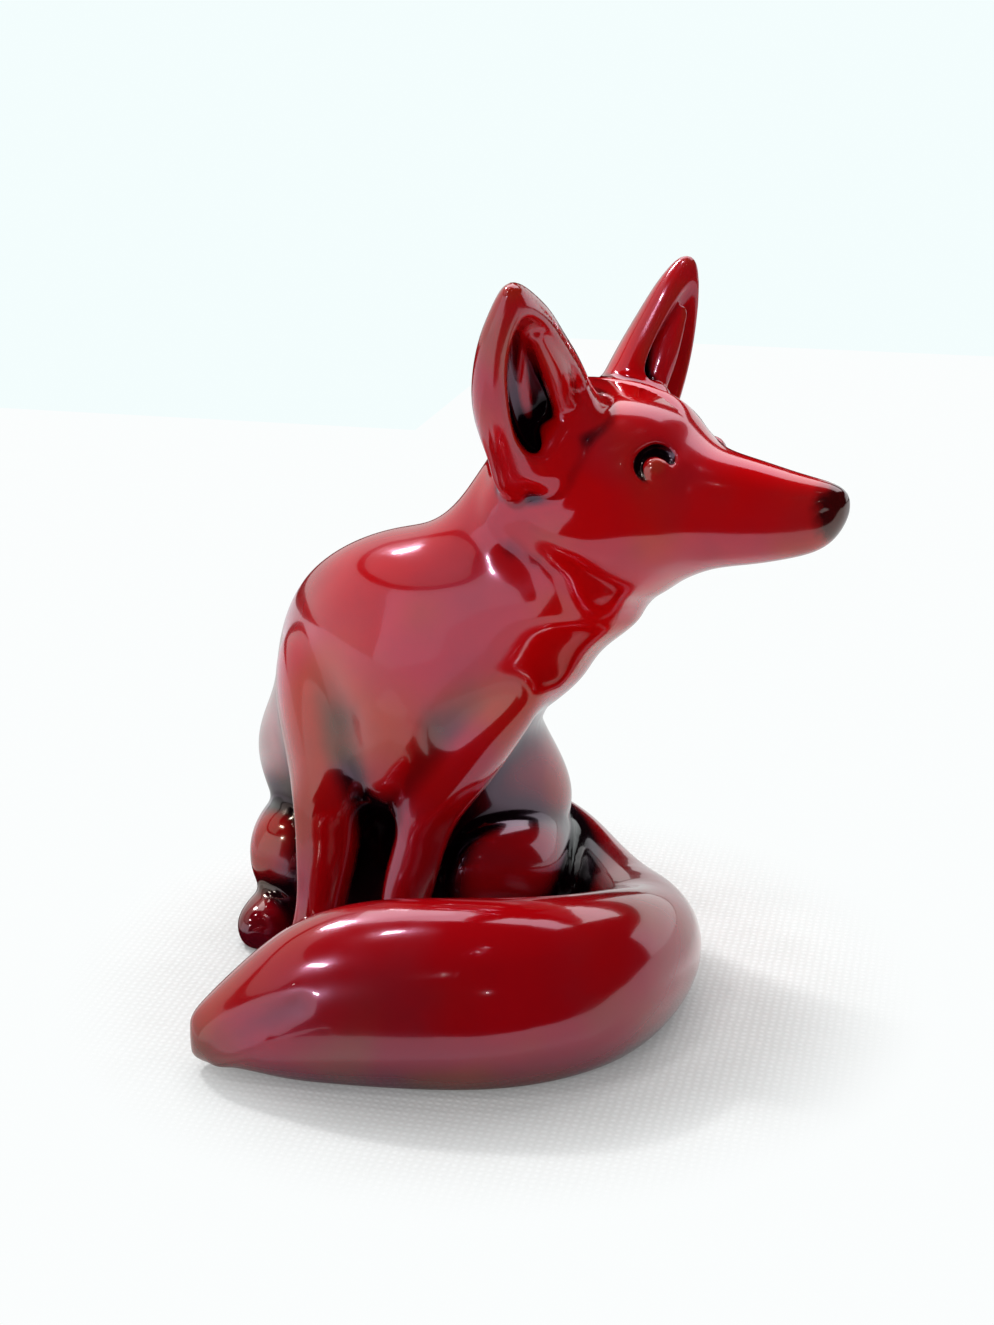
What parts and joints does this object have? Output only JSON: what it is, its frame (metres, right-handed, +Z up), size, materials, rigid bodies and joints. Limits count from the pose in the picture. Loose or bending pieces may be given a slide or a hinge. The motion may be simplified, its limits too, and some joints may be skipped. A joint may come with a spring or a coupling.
{
  "type": "fox figurine",
  "caption": "Seated glazed ceramic fox, head turned to its left and tail curled round to the front, flat underneath so that it stands on a shelf.",
  "frame": {"origin": "on the table, on the flat underside of the trunk, below the middle of the chest", "axes": "+Z up, -Y the way the chest and the feet face, +X the fox's left, which is the side that its head and its tail turn to"},
  "size_m": [0.1113, 0.1123, 0.1253],
  "materials": {
    "ruby_glaze": "gloss"
  },
  "bodies": {
    "root": {"trunk": "ruby_glaze", "head": "ruby_glaze", "right_ear": "ruby_glaze", "left_ear": "ruby_glaze", "right_foreleg": "ruby_glaze", "left_foreleg": "ruby_glaze", "right_hind_leg": "ruby_glaze", "left_hind_leg": "ruby_glaze", "tail": "ruby_glaze"}
  },
  "joints": []
}
